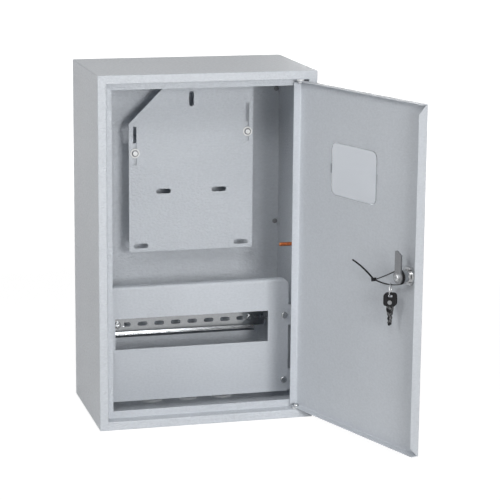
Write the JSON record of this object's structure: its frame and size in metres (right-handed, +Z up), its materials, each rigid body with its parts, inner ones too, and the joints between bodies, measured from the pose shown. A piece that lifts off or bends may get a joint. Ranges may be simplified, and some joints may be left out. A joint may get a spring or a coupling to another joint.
{
  "type": "electrical enclosure",
  "caption": "Wall-mounted folded steel meter enclosure with a hinged door, viewing pane, cam lock with keys, slotted meter plate and a top-hat rail behind a front panel.",
  "frame": {"origin": "middle of the cabinet's underside", "axes": "+Z up, -Y out of the front where the door is, +X to the right seen from the front"},
  "size_m": [0.3817, 0.4433, 0.5],
  "materials": {
    "powder_coat": "fine textured light grey powder coat on steel sheet",
    "zinc": "bright zinc plate",
    "nickel": "bright nickel plate",
    "copper_plate": "copper plated",
    "white_nylon": "natural white nylon",
    "grey_plastic": "light grey moulded plastic",
    "black_nylon": "black nylon",
    "black_plastic": "black moulded plastic",
    "key_steel": "nickel plated steel",
    "clear_plastic": "clear moulded plastic"
  },
  "bodies": {
    "cabinet": {"housing": "powder_coat", "back_panel": "powder_coat", "cable_blanks": "grey_plastic", "meter_plate": "powder_coat", "meter_bracket_left": "powder_coat", "meter_bracket_right": "powder_coat", "meter_plate_washers": "white_nylon", "meter_plate_screws": "zinc", "din_rail": "zinc", "din_bracket_left": "powder_coat", "din_bracket_right": "powder_coat", "rail_screws": "zinc", "rail_nuts": "zinc", "front_panel": "powder_coat", "panel_bracket_lower_left": "powder_coat", "panel_bracket_upper_left": "powder_coat", "panel_bracket_lower_right": "powder_coat", "panel_bracket_upper_right": "powder_coat", "panel_screws": "zinc", "earth_stud": "copper_plate", "hinge_washer_lower": "white_nylon"},
    "door": {"door": "powder_coat", "window_pane": "clear_plastic", "hinge_pin_lower": "zinc", "hinge_pin_upper": "zinc", "hinge_washer_upper": "white_nylon", "lock_body": "nickel", "lock_nut": "nickel", "cable_tie": "black_nylon", "key_ring": "nickel", "key_1_bow": "black_plastic", "key_1_blade": "key_steel", "key_2_bow": "black_plastic", "key_2_blade": "key_steel"},
    "lock_core": {"lock_plug": "nickel", "lock_cam": "zinc", "cam_washer": "zinc", "cam_screw": "zinc"}
  },
  "joints": [
    {"name": "door_hinge", "type": "hinge", "parent": "cabinet", "child": "door", "pos_m": [0.132, -0.088, 0.25], "axis": [0, 0, 1], "range_deg": [-109, 5]},
    {"name": "lock_turn", "type": "hinge", "parent": "door", "child": "lock_core", "pos_m": [0.2116, -0.31918, 0.2555], "axis": [0.9455, 0.3256, 0], "range_deg": [0, 90]}
  ]
}
